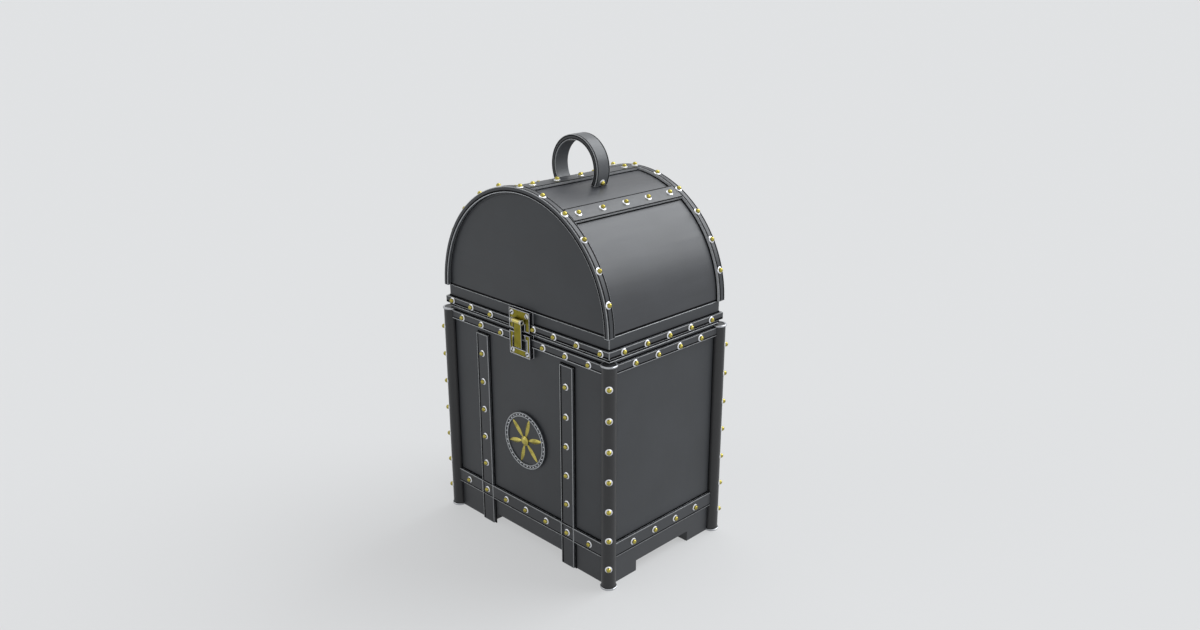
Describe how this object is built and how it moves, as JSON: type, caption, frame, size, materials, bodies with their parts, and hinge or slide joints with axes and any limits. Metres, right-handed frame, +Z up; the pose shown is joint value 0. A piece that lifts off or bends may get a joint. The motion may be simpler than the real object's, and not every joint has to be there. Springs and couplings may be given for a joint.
{
  "type": "trunk",
  "caption": "Tall charcoal trunk with round corner posts, riveted iron bands, a barrel-vaulted hinged lid, a strap handle on the crown and a brass hasp latch",
  "frame": {"origin": "on the floor, at the middle of the trunk's outline seen from above", "axes": "+X to the trunk's left hand, along the front, right as one looks at the latch; +Y from front to back; +Z up"},
  "size_m": [0.4274, 0.3005, 0.715],
  "materials": {
    "wood": "satin charcoal paint",
    "iron": "satin charcoal paint",
    "brass": "polished"
  },
  "bodies": {
    "body": {"post_front_left": "iron", "post_front_right": "iron", "post_back_left": "iron", "post_back_right": "iron", "plinth_front": "wood", "plinth_right": "wood", "plinth_back": "wood", "plinth_left": "wood", "panel_front": "wood", "panel_right": "wood", "panel_back": "wood", "panel_left": "wood", "floor_board": "wood", "top_band_front": "iron", "top_band_right": "iron", "top_band_back": "iron", "top_band_left": "iron", "lower_band_front": "iron", "lower_band_right": "iron", "lower_band_back": "iron", "lower_band_left": "iron", "strap_front_left": "iron", "strap_front_right": "iron", "strap_back_left": "iron", "strap_back_right": "iron", "medallion_disc": "iron", "medallion_rosette": "brass", "latch_plate_lower": "brass", "latch_keeper": "iron", "hinge_left_body_leaf": "iron", "hinge_right_body_leaf": "iron", "hinge_left_pin": "iron", "hinge_right_pin": "iron"},
    "lid": {"lid_wall_front": "wood", "lid_wall_right": "wood", "lid_wall_back": "wood", "lid_wall_left": "wood", "lid_band_front": "iron", "lid_band_right": "iron", "lid_band_back": "iron", "lid_band_left": "iron", "gable_front": "wood", "gable_back": "wood", "vault_board_right": "wood", "vault_board_upper_right": "wood", "vault_board_upper_left": "wood", "vault_board_left": "wood", "lid_strap_right": "iron", "lid_strap_crown": "iron", "lid_strap_left": "iron", "hoop_front": "iron", "hoop_back": "iron", "handle": "iron", "latch_plate_upper": "brass", "hasp_pin": "brass", "hinge_left_lid_leaf": "iron", "hinge_right_lid_leaf": "iron"},
    "hasp": {"hasp_flap": "brass"}
  },
  "joints": [
    {"name": "lid_hinge", "type": "hinge", "parent": "body", "child": "lid", "pos_m": [0, 0.1439, 0.40015], "axis": [-1, 0, 0], "range_deg": [0, 100]},
    {"name": "hasp_pivot", "type": "hinge", "parent": "lid", "child": "hasp", "pos_m": [0, -0.1454, 0.4221], "axis": [-1, 0, 0], "range_deg": [0, 170]}
  ]
}
